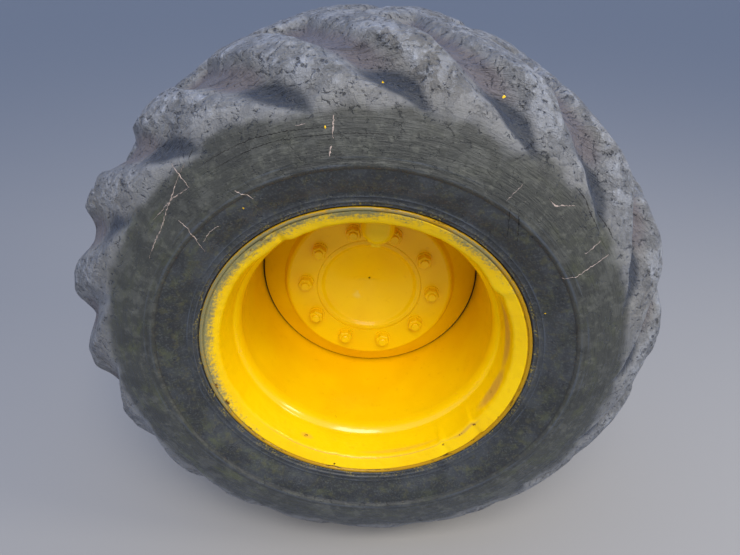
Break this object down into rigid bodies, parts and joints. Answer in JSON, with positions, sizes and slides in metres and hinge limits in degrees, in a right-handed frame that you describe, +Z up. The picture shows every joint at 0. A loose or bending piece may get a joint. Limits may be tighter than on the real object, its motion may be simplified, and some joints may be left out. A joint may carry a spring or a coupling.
{
  "type": "forestry machine bogie wheel with hub and spindle",
  "caption": "Wide lugged tyre on a deep yellow drop-centre rim with pressed disc, studs and nuts, turning with its hub on a flanged spindle.",
  "frame": {"origin": "centre of the spindle's mounting face, which meets the bogie case", "axes": "+Y is the outward normal of the mounting face and runs along the axle towards the machine, -Y is the wheel's outer side, +Z is up"},
  "size_m": [1.356, 0.751, 1.356],
  "materials": {
    "tyre_rubber": "worn, dusty and cracked",
    "yellow_paint": "sprayed gloss over steel, scuffed at the flange",
    "dark_paint": "satin, dusty",
    "steel": "machined and oiled",
    "brass": "dull",
    "cap_plastic": "matt"
  },
  "bodies": {
    "spindle": {"spindle": "dark_paint", "dust_ring": "dark_paint"},
    "wheel": {"tyre": "tyre_rubber", "rim": "yellow_paint", "wheel_disc": "yellow_paint", "disc_weld": "yellow_paint", "hub": "yellow_paint", "hub_cover": "yellow_paint", "drive_shaft": "steel", "valve_stem": "brass", "valve_cap": "cap_plastic", "valve_guard": "yellow_paint", "wheel_stud_01": "yellow_paint", "wheel_nut_01": "yellow_paint", "nut_washer_01": "yellow_paint", "wheel_stud_02": "yellow_paint", "wheel_nut_02": "yellow_paint", "nut_washer_02": "yellow_paint", "wheel_stud_03": "yellow_paint", "wheel_nut_03": "yellow_paint", "nut_washer_03": "yellow_paint", "wheel_stud_04": "yellow_paint", "wheel_nut_04": "yellow_paint", "nut_washer_04": "yellow_paint", "wheel_stud_05": "yellow_paint", "wheel_nut_05": "yellow_paint", "nut_washer_05": "yellow_paint", "wheel_stud_06": "yellow_paint", "wheel_nut_06": "yellow_paint", "nut_washer_06": "yellow_paint", "wheel_stud_07": "yellow_paint", "wheel_nut_07": "yellow_paint", "nut_washer_07": "yellow_paint", "wheel_stud_08": "yellow_paint", "wheel_nut_08": "yellow_paint", "nut_washer_08": "yellow_paint", "wheel_stud_09": "yellow_paint", "wheel_nut_09": "yellow_paint", "nut_washer_09": "yellow_paint", "wheel_stud_10": "yellow_paint", "wheel_nut_10": "yellow_paint", "nut_washer_10": "yellow_paint"}
  },
  "joints": [
    {"name": "wheel_spin", "type": "hinge", "parent": "spindle", "child": "wheel", "pos_m": [0, -0.4, 0], "axis": [0, -1, 0], "continuous": true}
  ]
}
